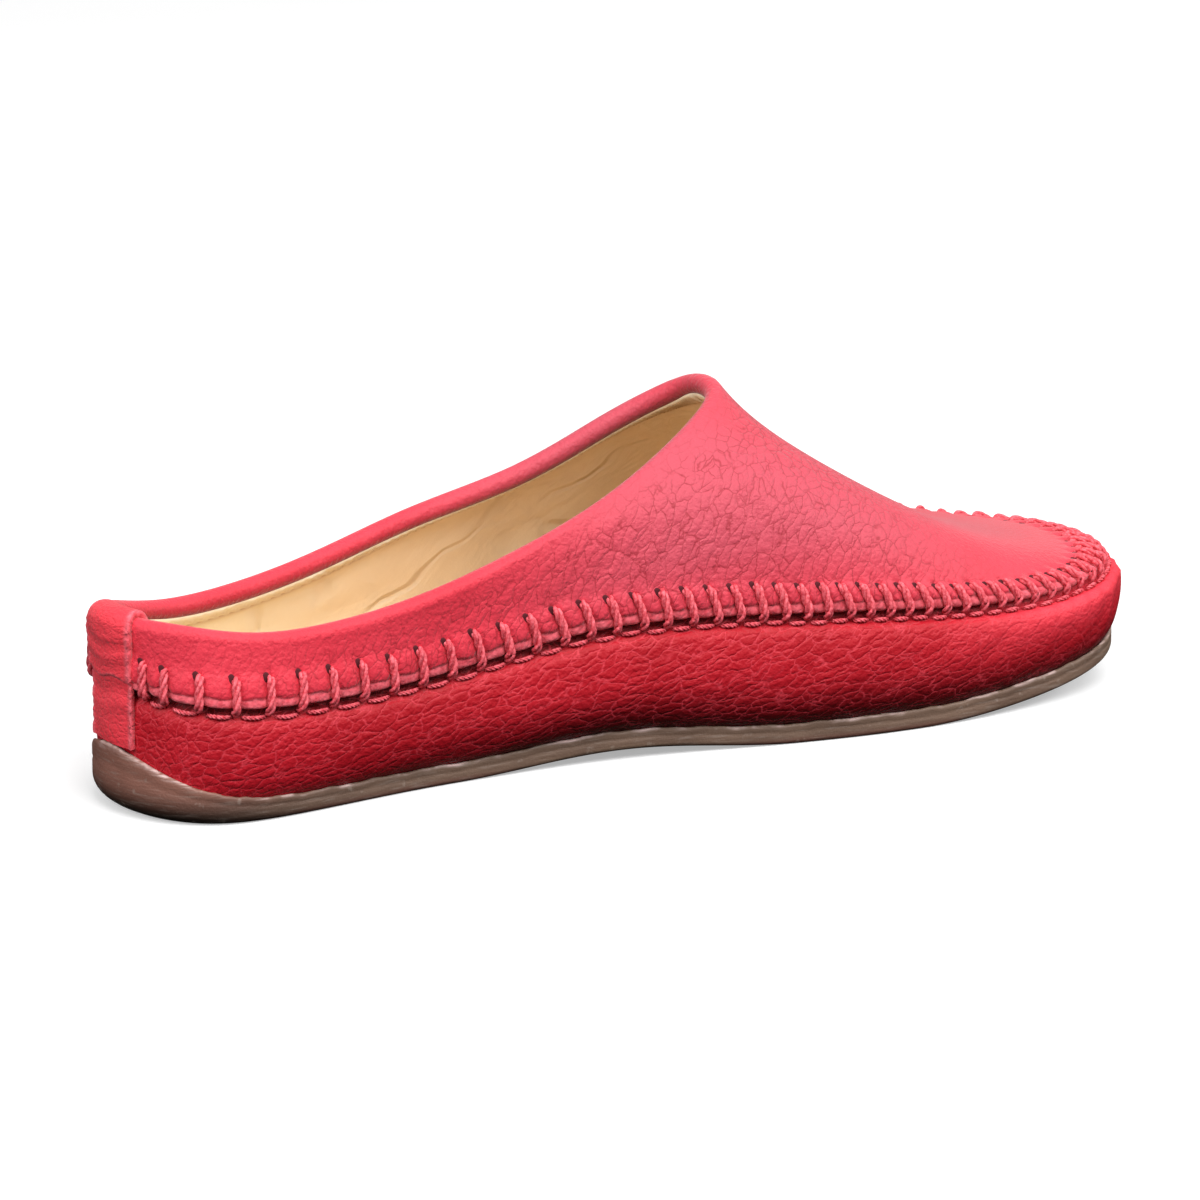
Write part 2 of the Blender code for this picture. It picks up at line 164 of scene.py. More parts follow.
# %% The widest line
NEXT_PLACE, NEXT_ROW = 1e-4, 1e-3


def unit(vectors):
    return vectors / np.linalg.norm(vectors, axis=-1, keepdims=True)


def widest_line(places):
    """Plan points of the widest line and the direction out of the shoe there."""

    def plan(at):
        post = posts_at(at)
        return np.stack([post["along"] * LENGTH, post["across"] * BALL_WIDTH / 2], -1)

    tangent = unit(plan(places + NEXT_PLACE) - plan(places - NEXT_PLACE))
    return plan(places), np.stack([tangent[..., 1], -tangent[..., 0]], -1)


print("the heel is at", widest_line(0.0)[0].round(4))

# %% A point of the wall


def wall_point(places, rows):
    """The wall's outer face at places round the last and rows up the wall."""
    places, rows = np.broadcast_arrays(places, rows)
    post = posts_at(places)
    plan, outward = widest_line(places)
    tuck = (post["tuck"] * TUCK)[..., None]
    foot = plan - tuck * outward
    foot_z = underside(foot[..., 0], foot[..., 1]) + SOLE_THICKNESS
    seam = plan - (post["seam_in"] * SEAM_INSET)[..., None] * outward
    seam_z = post["seam_up"] * SEAM_HEIGHT
    rim = np.stack([post["rim_along"] * LENGTH, post["rim_across"] * BALL_WIDTH / 2], -1)
    rim_z = HEEL_HEIGHT + post["rim_up"] * (INSTEP_HEIGHT - HEEL_HEIGHT)
    turn = np.clip(rows, 0, 1) * pi / 2
    low_plan = plan - tuck * (1 - np.sin(turn))[..., None] * outward
    low_z = foot_z + SWELL_HEIGHT * (1 - np.cos(turn))
    mid = np.clip(rows - 1, 0, 1)
    mid_plan = plan + (seam - plan) * (mid**2)[..., None]
    mid_z = foot_z + SWELL_HEIGHT + (seam_z - foot_z - SWELL_HEIGHT) * mid
    up = np.clip(rows - 2, 0, 1)
    bow = post["full"] * up * (1 - up) / 2
    up_plan = seam + (rim - seam) * (up - bow)[..., None]
    hump = up / SHOULDER_PLACE * np.exp(1 - up / SHOULDER_PLACE)
    up_z = seam_z + (rim_z - seam_z) * (up + bow) + post["shoulder"] * SHOULDER * hump
    low, high = (rows <= 1)[..., None], (rows >= 2)[..., None]
    flat = np.where(low, low_plan, np.where(high, up_plan, mid_plan))
    height = np.where(rows <= 1, low_z, np.where(rows >= 2, up_z, mid_z))
    return np.concatenate([flat, height[..., None]], -1)


print("the collar is", round(wall_point(0.0, RIM_ROW)[2] / MM, 1), "mm up at the heel")

# %% Directions on the wall


def wall_frame(places, rows):
    """The outer face's points, outward normals and upward tangents."""
    places, rows = np.broadcast_arrays(places, rows)
    lower = np.clip(rows - NEXT_ROW, SOLE_ROW, RIM_ROW)
    upper = np.clip(rows + NEXT_ROW, SOLE_ROW, RIM_ROW)
    up = unit(wall_point(places, upper) - wall_point(places, lower))
    around = wall_point(places + NEXT_PLACE, rows) - wall_point(places - NEXT_PLACE, rows)
    return wall_point(places, rows), unit(np.cross(around, up)), up


print("out of the heel:", wall_frame(0.0, WIDEST_ROW)[1].round(2))

# %% Line the table up with the solids
SAMPLES = 5 * len(POSTS)
all_round = np.arange(SAMPLES) / SAMPLES
four_rows = (SOLE_ROW, WIDEST_ROW, SEAM_ROW, RIM_ROW)
outline = np.concatenate([wall_point(all_round, row) for row in four_rows])
low, high = outline.min(0), outline.max(0)
upper_low, upper_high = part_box("upper")
SHIFT = np.array([
    upper_high[0] - high[0],
    (upper_low[1] + upper_high[1]) / 2 - (low[1] + high[1]) / 2,
    upper_low[2] - low[2],
])
print("the table's origin lies at", SHIFT.round(5), "in the frame")

# %% [markdown]
# ## Camera
#
# The photograph looks at the inner side of the left shoe, from a little behind and above, with a
# long lens. The distance decides how large the heel looks against the toe, so it was worked out
# first, and the lens then sets the scale. A tracking constraint could aim the camera, but one
# rotation says the same.

# %% Camera
AZIMUTH, ELEVATION = radians(32), radians(15.44)
DISTANCE = 2047 * MM
PIXELS_PER_MM, PHOTO_WIDTH, SENSOR_WIDTH = 4.436, 1200, 36
AIM = SHIFT + np.array([128, 0, 29.57]) * MM
level_share = cos(ELEVATION)
toward = Vector((sin(AZIMUTH) * level_share, cos(AZIMUTH) * level_share, -sin(ELEVATION)))


def placed(name, data):
    """An object that shows this data, in the scene."""
    item = bpy.data.objects.new(name, data)
    bpy.context.scene.collection.objects.link(item)
    return item


camera = placed("camera", bpy.data.cameras.new("camera"))
camera.data.sensor_width = SENSOR_WIDTH
camera.data.lens = PIXELS_PER_MM * DISTANCE / MM / PHOTO_WIDTH * SENSOR_WIDTH
camera.location = Vector(AIM) - toward * DISTANCE
camera.rotation_euler = toward.to_track_quat("-Z", "Y").to_euler()
bpy.context.scene.camera = camera
print("lens", round(camera.data.lens), "mm at", np.round(camera.location, 3))

# %% [markdown]
# ## Shader maths that reads like maths
#
# A material is a web of nodes, and a web written link by link is hard to read. This class holds one
# output of a node. Adding or multiplying two of them makes the Math node and the links, so a line
# of code looks like the formula it stands for.

# %% Wire


class Wire:
    """One output of a shader node. Sums and products of wires add Math nodes."""

    def __init__(self, tree, socket):
        self.tree, self.socket = tree, socket

    def node(self, kind, settings, inputs, output=0):
        made = self.tree.nodes.new(kind)
        for name, value in settings.items():
            setattr(made, name, value)
        for key, value in inputs.items():
            if isinstance(value, Wire):
                self.tree.links.new(value.socket, made.inputs[key])
            else:
                made.inputs[key].default_value = value
        return Wire(self.tree, made.outputs[output])

    def math(self, operation, *values):
        return self.node("ShaderNodeMath", {"operation": operation}, dict(enumerate(values)))

    def __add__(self, other):
        return self.math("ADD", self, other)

    def __mul__(self, other):
        return self.math("MULTIPLY", self, other)

    def __sub__(self, other):
        return self.math("SUBTRACT", self, other)

    def __rsub__(self, other):
        return self.math("SUBTRACT", other, self)

    __radd__ = __add__
    __rmul__ = __mul__

    def most(self, other):
        return self.math("MAXIMUM", self, other)

    def size(self):
        return self.math("ABSOLUTE", self)

    def pillow(self, width):
        """Rises steeply from 0 at an edge and levels off to 1 at this width."""
        share = self.math("MINIMUM", self * (1 / width), 1)
        return share * (2 - share)

    def band(self, low, high):
        """0 at low and 1 at high, smooth between; low may be above high."""
        settings = {"interpolation_type": "SMOOTHSTEP"}
        if low > high:
            return 1 - self.node("ShaderNodeMapRange", settings, {0: self, 1: high, 2: low})
        return self.node("ShaderNodeMapRange", settings, {0: self, 1: low, 2: high})

    def mix(self, first, second):
        """Mixes two colours by this wire."""
        inputs = {0: self, 6: first, 7: second}
        return self.node("ShaderNodeMix", {"data_type": "RGBA"}, inputs, 2)


print("wires know", *(name for name in vars(Wire) if name[0] != "_"))

# %% Textures for wires


class Place(Wire):
    """A wire that holds a place, which textures can be read at."""

    def axis(self, index):
        return self.node("ShaderNodeSeparateXYZ", {}, {"Vector": self}, index)

    def noise(self, scale, detail=3.0):
        inputs = {"Vector": self, "Scale": scale, "Detail": detail}
        return self.node("ShaderNodeTexNoise", {}, inputs)

    def cells(self, scale):
        """Distance to the nearest edge between rounded cells, in shares of a cell."""
        inputs = {"Vector": self, "Scale": scale}
        return self.node("ShaderNodeTexVoronoi", {"feature": "DISTANCE_TO_EDGE"}, inputs)

    def drawn(self, turn, stretch):
        """The same place in axes turned by degrees, with forms drawn out along the new x."""
        inputs = {"Vector": self, "Rotation": [radians(a) for a in turn], "Scale": (stretch, 1, 1)}
        made = self.node("ShaderNodeMapping", {"vector_type": "TEXTURE"}, inputs)
        return Place(made.tree, made.socket)

    def shaken(self, scale, amount):
        """The place moved about by a noise, so that straight lines become crooked."""
        inputs = {"Vector": self, "Scale": scale, "Detail": 1.5}
        shake = self.node("ShaderNodeTexNoise", {}, inputs, 1)
        level = {"operation": "SUBTRACT"}
        centred = shake.node("ShaderNodeVectorMath", level, {0: shake, 1: (0.5, 0.5, 0.5)})
        sized = shake.node("ShaderNodeVectorMath", {"operation": "SCALE"}, {0: centred, 3: amount})
        moved = shake.node("ShaderNodeVectorMath", {"operation": "ADD"}, {0: self, 1: sized})
        return Place(moved.tree, moved.socket)


print("places know", *(name for name in vars(Place) if name[0] != "_"))

# %% [markdown]
# ## Starting a material
#
# Every finish begins with the Principled shader. What varies over a surface goes in as a wire, and
# what is the same all over is set on the shader itself, because an exported model keeps only that.
# The meshes store marks on their points, such as how near a point is to a cut edge, and a material
# reads them by name.

# %% Material starter


def new_material(name):
    """A material, its place wire, a reader of marks, and a function that fills the shader."""
    material = bpy.data.materials.new(name)
    material.use_nodes = True
    tree = material.node_tree
    shader = tree.nodes["Principled BSDF"]
    at = Place(tree, tree.nodes.new("ShaderNodeTexCoord").outputs["Object"])

    def mark(key):
        return at.node("ShaderNodeAttribute", {"attribute_name": key}, {}, 2)

    def fill(**values):
        for key, value in values.items():
            socket = shader.inputs[key.replace("_", " ")]
            if isinstance(value, Wire):
                tree.links.new(value.socket, socket)
            else:
                socket.default_value = value
        print(name, "has", len(tree.nodes), "nodes")

    return material, at, mark, fill


def bump(height, distance, strength=1.0, under=None):
    """A normal that is tilted as if the surface had this height."""
    inputs = {"Height": height, "Distance": distance, "Strength": strength}
    if under is not None:
        inputs["Normal"] = under
    return height.node("ShaderNodeBump", {}, inputs)


def colour(red, green, blue):
    return red, green, blue, 1.0


def grey(level):
    return colour(level, level, level)

# %% [markdown]
# ## Floor and light
#
# A product photographer hangs one wide soft box in front and above, another overhead for the
# highlights and a small one at each end, in a pale room. A picture of a studio could light the shoe
# too, but lamps can be moved one by one. Under the shoe's swell the leather is nearly black, so
# nothing may shine up from below: the floor shows itself but lights nothing.

# %% Floor
paper, at, _, fill = new_material("white_paper")
fill(
    Base_Color=at.noise(9).band(0.2, 0.8).mix(grey(0.62), grey(0.64)),
    Roughness=0.9,
    Emission_Color=grey(1),
    Emission_Strength=0.40,
)
floor_mesh = bpy.data.meshes.new("floor")
floor_mesh.from_pydata([(-4, -4, 0), (4, -4, 0), (4, 4, 0), (-4, 4, 0)], [], [(0, 1, 2, 3)])
floor_mesh.materials.append(paper)
floor = placed("floor", floor_mesh)
floor.visible_diffuse = False
floor.visible_glossy = False

# %% Soft boxes
LIT_POINT = Vector((0, 0, 0.03))


def soft_box(name, power, size, place):
    lamp = bpy.data.lights.new(name, "AREA")
    lamp.energy, lamp.shape, lamp.size, lamp.size_y = power, "RECTANGLE", *size
    item = placed(name, lamp)
    item.location = place
    item.rotation_euler = (LIT_POINT - Vector(place)).to_track_quat("-Z", "Y").to_euler()
    print(name, power, "W")


soft_box("front_box", 17.5, (1.1, 0.8), (-0.10, -0.92, 1.10))
soft_box("overhead_box", 3.5, (1.3, 0.4), (0.05, -0.10, 1.15))
soft_box("heel_box", 8, (0.5, 0.6), (-1.15, -0.30, 0.75))
soft_box("toe_box", 8, (0.5, 0.5), (1.15, -0.70, 0.75))

# %% The pale room
ROOM_STRENGTH = 0.46
world = bpy.data.worlds.new("pale_room")
world.use_nodes = True
tree = world.node_tree
way = Place(tree, tree.nodes.new("ShaderNodeTexCoord").outputs["Generated"])
sky = way.axis(2).band(-0.12, 0.22).mix(grey(0.02), grey(1))
tree.links.new(sky.socket, tree.nodes["Background"].inputs["Color"])
tree.nodes["Background"].inputs["Strength"].default_value = ROOM_STRENGTH
bpy.context.scene.world = world
bpy.context.scene.view_settings.view_transform = "Standard"
print("the room shines at", ROOM_STRENGTH)

# %% [markdown]
# ## Where the stitches go
#
# A moccasin's seam is sewn by hand: each whip stitch comes out of a hole in the apron, crosses its
# cut edge and goes in through the wrap below. The holes are closer together round the toe, where
# the wrap is gathered. An array along a curve would space them evenly, so the places are laid out
# one by one, in millimetres along the seam from the heel to the toe on each side.

# %% Places along the seam
FINE_STEPS = 14400


def travelled(points):
    """How far along the line through the points each of them lies."""
    steps = np.linalg.norm(np.diff(points, axis=0), axis=-1)
    return np.concatenate([np.zeros_like(steps[:1]), np.cumsum(steps, axis=0)])


fine = np.arange(FINE_STEPS) / FINE_STEPS
seam_line = wall_point(fine, SEAM_ROW)
arc = travelled(np.append(seam_line, seam_line[:1], 0))
SEAM_LENGTH = arc[-1]
print("the seam is", round(SEAM_LENGTH / MM), "mm long")


def place_at(distance):
    """The place round the shoe at a distance along the seam from the back of the heel."""
    return np.interp(np.asarray(distance) % SEAM_LENGTH, arc, np.append(fine, 1.0))


# %% Places of the stitches
FIRST_STITCH, SECOND_STITCH = 11.4 * MM, 16.7 * MM
HEEL_SPACING, TOE_SPACING = 7.9 * MM, 5.05 * MM
CLOSER_FROM, CLOSER_OVER = 45 * MM, 150 * MM


def side_stitches(length):
    """Distances of the stitches from the heel to the toe, closer together towards the toe."""
    at, found = SECOND_STITCH, [FIRST_STITCH]
    while at < length:
        found.append(at)
        close = smooth_step((at - CLOSER_FROM) / CLOSER_OVER)
        at += HEEL_SPACING + (TOE_SPACING - HEEL_SPACING) * close
    return np.array(found)


toe_tip = [post.name for post in POSTS].index("toe tip") / len(POSTS)
TOE_DISTANCE = np.interp(toe_tip, fine, arc[:-1])
near_side = side_stitches(TOE_DISTANCE)
far_side = SEAM_LENGTH - side_stitches(SEAM_LENGTH - TOE_DISTANCE - TOE_SPACING / 2)
STITCHES = np.sort(np.concatenate([near_side, far_side]))
print(len(STITCHES), "whip stitches")

# %% [markdown]
# ## Turning rows of points into a mesh
#
# Each layer is a grid of points: loops round the shoe, one above the other. One helper joins the
# loops with faces and stores the marks that the materials read. A subdivision modifier could round
# the layers too, but the grids are fine enough as they are.

# %% Grids to meshes


def add_piece(name, points, faces, material):
    """A smooth mesh in the scene that rides on the shoe and fills a colour slot."""
    assert np.isfinite(points).all(), name + " has a point that isn't a number"
    mesh = bpy.data.meshes.new(name)
    mesh.from_pydata((points + SHIFT).tolist(), [], faces)
    mesh.materials.append(material)
    mesh.shade_smooth()
    piece = placed(name, mesh)
    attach(piece, "root")
    print(name, "has", sum(len(face) - 2 for face in faces), "triangles")
    return piece


def loop_faces(grid, first=0):
    """The numbers of a grid's points, counted on from first, and the faces between its loops."""
    index = first + np.arange(grid[..., 0].size).reshape(grid.shape[:2])
    turned = np.roll(index, -1, 1)
    sides = np.stack([index[:-1], turned[:-1], turned[1:], index[1:]], -1)
    return index, sides.reshape(-1, 4).tolist()


def grid_piece(name, grid, material, marks):
    """A mesh from loops of points (rows, columns, xyz), closed round the shoe, with marks."""
    index, faces = loop_faces(grid)
    piece = add_piece(name, grid.reshape(-1, 3), faces, material)
    for key, values in marks.items():
        stored = piece.data.attributes.new(key, "FLOAT", "POINT")
        stored.data.foreach_set("value", np.broadcast_to(values, index.shape).astype("f").ravel())
    return piece


# %% Columns round the shoe
COLUMNS_ROUND = 960


def bell(value, width):
    return np.exp(-((value / width) ** 2))


spaced = SEAM_LENGTH * np.arange(COLUMNS_ROUND) / COLUMNS_ROUND
AROUND = place_at(spaced)
nearest = np.abs(spaced[:, None] - STITCHES)
nearest = np.minimum(nearest, SEAM_LENGTH - nearest).min(1)
at_heel_back = np.minimum(spaced, SEAM_LENGTH - spaced)
sewn = smooth_step((at_heel_back - 5 * MM) / (3 * MM))
pull = bell(nearest, 1.25 * MM) * sewn
puff = smooth_step(nearest / (2.4 * MM)) * sewn
toe_share = smooth_step((wall_point(AROUND, SEAM_ROW)[:, 0] / LENGTH - 0.72) / 0.2)
print(COLUMNS_ROUND, "columns,", round(SEAM_LENGTH / COLUMNS_ROUND / MM, 2), "mm apart")

# %% [markdown]
# ## Pebbled red leather
#
# Pebbled leather is hide that was tumbled until it creased into small cells, longer one way than
# the other. Displacing a mesh that finely would take millions of faces, so a texture of cells gives
# the creases as bump, and paints shade along them on the apron and a highlight along them on the
# wrap and the strip. Real creases are never straight, so its place is shaken twice, by a slow noise
# and a quick one. The meshes bring four marks: calm fades the grain where the leather is stretched
# smooth, one mark paints light on the upper wrap round the toe and on the instep, another paints
# shade in the seam's gap, under the swell and inside the collar's roll, and cut shows the raw edge.

# %% Leather material


def red_leather(name, turn, stretch, cell, skins, lit_colour, line, strength, sheen):
    """Pebbled leather: turn, stretch and cell lay the grain, line is the painted shade or highlight
    colour along its creases.
    """
    material, at, mark, fill = new_material(name)
    crooked = at.shaken(130, 3.4 * MM).shaken(650, 0.9 * MM)
    laid, long_way = crooked.drawn(turn, stretch), crooked.drawn(turn, stretch * 1.5)
    coarse, small = laid.cells(1 / cell), laid.cells(1.9 / cell)
    fold = (long_way.noise(0.42 / cell, 2) - 0.5).size()
    patch = at.noise(85).band(0.50, 0.62)
    broken = at.noise(260, 2).band(0.30, 0.50)
    alive = 1 - mark("calm")
    crease = (coarse.band(0.065, 0.0) * broken).most(fold.band(0.010, 0.0) * 0.5)
    crease = crease.most(small.band(0.06, 0.0) * patch * 0.4)
    height = coarse.pillow(0.36) + fold.pillow(0.06) * 0.35 + small.pillow(0.3) * patch * 0.25
    dull = at.noise(42).band(0.3, 0.7)
    # Painted light: one mark mixes the leather towards a paler, lit colour. Painted shade: another
    # mark darkens it towards near black.
    dyed_and_lit = mark("painted_light").mix(dull.mix(*skins), lit_colour)
    skin = mark("shade").mix(dyed_and_lit, colour(0.06, 0.0, 0.001))
    # Painted shade or painted highlight along the creases, in the line colour.
    lined = (crease * alive * strength).mix(skin, line)
    fibres = at.noise(700, 4).band(0.3, 0.75)
    raw = fibres.mix(colour(0.93, 0.16, 0.20), colour(0.66, 0.060, 0.085))
    pores = bump(at.noise(1000, 3).band(0.3, 0.7), 0.20 * MM, 0.55)
    fill(
        Base_Color=mark("cut").mix(lined, raw),
        Roughness=0.46 + at.noise(500, 2) * 0.12 + mark("cut") * 0.3,
        Specular_IOR_Level=0.28,
        Sheen_Weight=sheen,
        Sheen_Roughness=0.45,
        Normal=bump(height * alive, 0.17 * MM, 0.8, pores),
    )
    return material


APRON_RED = colour(0.67, 0.027, 0.051), colour(0.76, 0.040, 0.069)
WRAP_RED = colour(0.40, 0.0045, 0.012), colour(0.49, 0.0075, 0.018)
STRIP_RED = colour(0.80, 0.024, 0.042), colour(0.92, 0.050, 0.074)
# Paler, lit colours: painted light on the instep and on the upper wrap round the toe.
APRON_LIT, WRAP_LIT = colour(0.57, 0.066, 0.100), colour(0.95, 0.055, 0.085)
# Crease colours: painted shade in the apron's creases, painted highlight along the creases of the
# wrap and the strip.
CREASE_SHADE, CREASE_HIGHLIGHT = colour(0.27, 0.003, 0.010), colour(0.80, 0.068, 0.098)
apron_leather = red_leather(
    "apron_leather", (0, -55, 0), 2.3, 2.4 * MM, APRON_RED, APRON_LIT, CREASE_SHADE, 0.60, 0.25
)
wrap_leather = red_leather(
    "wrap_leather", (0, -17, 0), 2.9, 2.1 * MM, WRAP_RED, WRAP_LIT, CREASE_HIGHLIGHT, 0.48, 0.0
)
strip_leather = red_leather(
    "strip_leather", (0, 0, 90), 1.8, 1.5 * MM, STRIP_RED, WRAP_LIT, CREASE_HIGHLIGHT, 0.30, 0.1
)

# %% [markdown]
# ## Soft creases
#
# Handled leather has a few larger creases and dents, where the foot bends and where the maker
# pulled the wrap over the last. Sculpting could add them, but a list can be read and changed: each
# line gives a place along the seam, a height from it, how long and how wide the form is, its slope
# and its depth. A ridge has a depth of less than nothing.

# %% Crease tool


def pressed(creases, along, up):
    """How far a surface is moved out by soft troughs and ridges, at distances along and up."""
    total = np.zeros(np.broadcast(along, up).shape)
    for place, height, length, width, slope, deep in creases:
        run, rise = along - place * MM, up - height * MM
        a = radians(slope)
        p, q = run * cos(a) + rise * sin(a), rise * cos(a) - run * sin(a)
        total -= deep * MM * bell(p, length * MM) * bell(q, width * MM)
    return total


print("at its width, a trough has", bell(1, 1).round(2), "of its depth")

# %% [markdown]
# ## The wrap
#
# The wrap is the lower piece of leather. It comes up from under the foot all round and is gathered
# into the seam, so small folds run down from each stitch, strongest round the toe. Cloth simulation
# could gather it, but would not put a fold at every stitch. So it is a grid of loops on the wall,
# pulled in under the apron's edge, with the folds added as waves. Its grain fades round the toe,
# shade is painted into it inside the seam and under the swell next to the sole, and light is
# painted on its upper part round the toe.

# %% Distances up the wall


def row_lengths(places, low, high):
    return travelled(wall_point(places, np.linspace(low, high, 40)[:, None]))[-1]


def depths_below_seam(places):
    """Rows from the seam down to the sole, and how far down the wall's face each of them lies."""
    rows = np.linspace(SEAM_ROW, SOLE_ROW, 61)
    return rows, travelled(wall_point(places, rows[:, None]))


def rows_at(places, heights):
    """Rows at heights from the seam, measured along the face; lower than the seam is negative."""
    up = SEAM_ROW + heights / row_lengths(places, SEAM_ROW, RIM_ROW)
    rows, depths = depths_below_seam(places)
    down = [np.interp(-heights[..., i], depths[:, i], rows) for i in range(len(places))]
    return np.where(heights > 0, up, np.stack(down, -1))


def on_wall(places, rows, offset):
    point, normal, _ = wall_frame(places, rows)
    return point + offset[..., None] * normal


above = row_lengths(AROUND, SEAM_ROW, RIM_ROW)
print("the apron rises", round(above.min() / MM), "to", round(above.max() / MM), "mm")

# %% Wrap
WRAP_CREASES = (
    (262, -9, 9, 2.2, 62, 0.55), (271, -13, 8, 2.0, 70, 0.45), (253, -12, 8, 2.4, 50, 0.40),
    (238, -16, 9, 2.6, 40, 0.35), (267, -11, 8, 1.8, 66, -0.40), (222, -10, 8, 2.0, 34, 0.30),
    (196, -14, 12, 2.6, 24, 0.28), (160, -18, 14, 3.0, 16, 0.25), (92, -20, 16, 3.0, 8, 0.22),
    (292, -12, 8, 2.2, 110, 0.45), (304, -13, 8, 2.0, 118, 0.40), (330, -12, 9, 2.6, 140, 0.35),
    (380, -16, 13, 3.0, 160, 0.28), (450, -18, 15, 3.0, 172, 0.22),
)
SET_IN = 2.35 * MM
depth = np.array([-3.2, -2.0, -1.0, 0.0, 0.7, 1.4, 2.1, 2.8, 3.6, 4.6, 5.8, 7.2, 9.0]) * MM
seam_rows = rows_at(AROUND, -np.broadcast_to(depth[:, None], (len(depth), COLUMNS_ROUND)))
lower_rows = np.linspace(0, 1, 32)[:, None] * (seam_rows[-1] - 0.03)
wrap_rows = np.concatenate([lower_rows, seam_rows[::-1]])
rows, depths = depths_below_seam(AROUND)
down = [np.interp(-wrap_rows[:, i], -rows, depths[:, i]) for i in range(COLUMNS_ROUND)]
down = np.where(wrap_rows > SEAM_ROW, (SEAM_ROW - wrap_rows) * above, np.stack(down, -1))
set_in = -SET_IN * bell(np.clip(down - 1.0 * MM, 0, None), 2.1 * MM)
reach = (3.0 + 4.5 * toe_share) * MM
folds = (puff - 0.6) * np.exp(-np.clip(down, 0, None) / reach) * (0.30 + 0.45 * toe_share)
offset = set_in + folds * MM * smooth_step((down - 0.5 * MM) / (2 * MM))
offset = offset + pressed(WRAP_CREASES, spaced, -down) * smooth_step(wrap_rows * 2)
calm = toe_share * (0.35 + 0.30 * np.exp(-np.clip(down, 0, None) / (8 * MM)))
# Painted shade in the dark gap under the apron's edge.
seam_shade = 0.68 * smooth_step((3.1 * MM - down) / (1.2 * MM)) * (1 - 0.4 * toe_share)
# Painted shade under the swell where it overhangs the sole: darkest next to the sole, strongest
# from the waist to the ball, lower round the toe.
overhang = smooth_step((wall_point(AROUND, WIDEST_ROW)[:, 0] / LENGTH - 0.20) / 0.25)
over_sole = wall_point(AROUND, wrap_rows)[..., 2] - wall_point(AROUND, SOLE_ROW)[..., 2]
under_swell_shade = 0.92 * overhang * smooth_step(1 - over_sole / ((14.5 - 6.5 * toe_share) * MM))
# Painted light on the upper, rounded part of the wrap round the toe.
painted_light = 0.9 * toe_share * smooth_step((over_sole - 6 * MM) / (12 * MM))
wrap = grid_piece(
    "wrap", on_wall(AROUND, wrap_rows, offset), wrap_leather,
    {"calm": calm, "shade": np.maximum(seam_shade, under_swell_shade), "painted_light": painted_light},
)
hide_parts("upper")

# %% [markdown]
# ## The apron
#
# The apron is the upper piece of leather: it covers the instep, runs back on both sides to the heel
# and is rolled over at the collar. Its lower edge is cut, so a paler band of raw leather shows
# there. A bevelled plane would give a straight edge. Here each loop of the edge has its own height
# and lift, pulled in at every stitch and puffed up between them.

# %% Inside of the collar


def roll_points(places, turns, extra):
    """Loops over the collar's rounded edge, at turns from 0 (outer face) to pi (inner face)."""
    point, normal, up = wall_frame(places, RIM_ROW)
    radius = COLLAR_THICKNESS / 2
    centre = point - normal * radius
    return [centre + (radius + extra) * (np.cos(t) * normal + np.sin(t) * up) for t in turns]


def inner_face(places, under_rim, extra):
    """Loops down the inside of the wall, at distances below the rim."""
    row = RIM_ROW - under_rim / row_lengths(places, SEAM_ROW, RIM_ROW)
    point, normal, _ = wall_frame(places, row)
    thick = WALL + (COLLAR_THICKNESS - WALL) * (1 - smooth_step(under_rim / COLLAR_DEPTH))
    return point - np.expand_dims(thick + extra, -1) * normal


print("the collar is", round(COLLAR_THICKNESS / MM, 1), "mm thick")

# %% Apron
APRON_CREASES = (
    (132, 14, 9, 1.5, 42, 0.30), (141, 17, 10, 1.6, 46, 0.32), (151, 19, 11, 1.7, 50, 0.30),
    (163, 16, 9, 1.6, 56, 0.26), (120, 10, 8, 1.5, 36, 0.24), (176, 24, 12, 2.0, 64, 0.22),
    (96, 12, 9, 1.8, 22, 0.18), (146, 30, 9, 2.4, 40, -0.20), (430, 15, 10, 1.7, 136, 0.28),
    (418, 18, 10, 1.7, 130, 0.26), (402, 20, 11, 1.9, 122, 0.24), (444, 11, 9, 1.7, 144, 0.22),
)
RAGGED_LOOPS, CREASED_FROM = (8, 9), 2.1
edge = np.array([
    (3.5, -1.9), (0.6, -1.8), (-0.1, -1.3), (-0.3, -0.6), (-0.1, 0.0), (0.3, 0.20), (0.9, 0.26),
    (1.4, 0.22), (1.75, 0.16), (1.95, 0.50), (2.6, 0.66), (3.6, 0.60), (4.8, 0.45), (5.8, 0.28),
    (6.8, 0.12), (7.6, 0.04), (8.6, 0.0),
]) * MM
ragged = 0.18 * np.sin(spaced / (1.9 * MM)) + 0.16 * np.sin(spaced / (0.83 * MM) + 1.3)
height = edge[:, :1] + (0.25 * pull - 0.15 * puff) * MM * (edge[:, :1] < 3 * MM)
height = height + ragged * MM * np.isin(np.arange(len(edge)), RAGGED_LOOPS)[:, None]
edge_rows = rows_at(AROUND, height)
pulled = bell(np.clip(edge[:, :1] - 5.6 * MM, 0, None), 1.4 * MM)
lift = edge[:, 1:] + (0.28 * puff - 0.60 * pull) * MM * pulled * (edge[:, :1] > -0.2 * MM)
shares = np.linspace(0, 1, 58)[1:, None]
apron_rows = np.concatenate([edge_rows, edge_rows[-1] + (RIM_ROW - edge_rows[-1]) * shares])
lifts = np.concatenate([lift, np.zeros((len(shares), COLUMNS_ROUND))])
creased = pressed(APRON_CREASES, spaced, (apron_rows - SEAM_ROW) * above)
apron_grid = on_wall(AROUND, apron_rows, lifts + creased * (apron_rows > CREASED_FROM))
print("the apron has", len(apron_rows), "loops up to the collar")

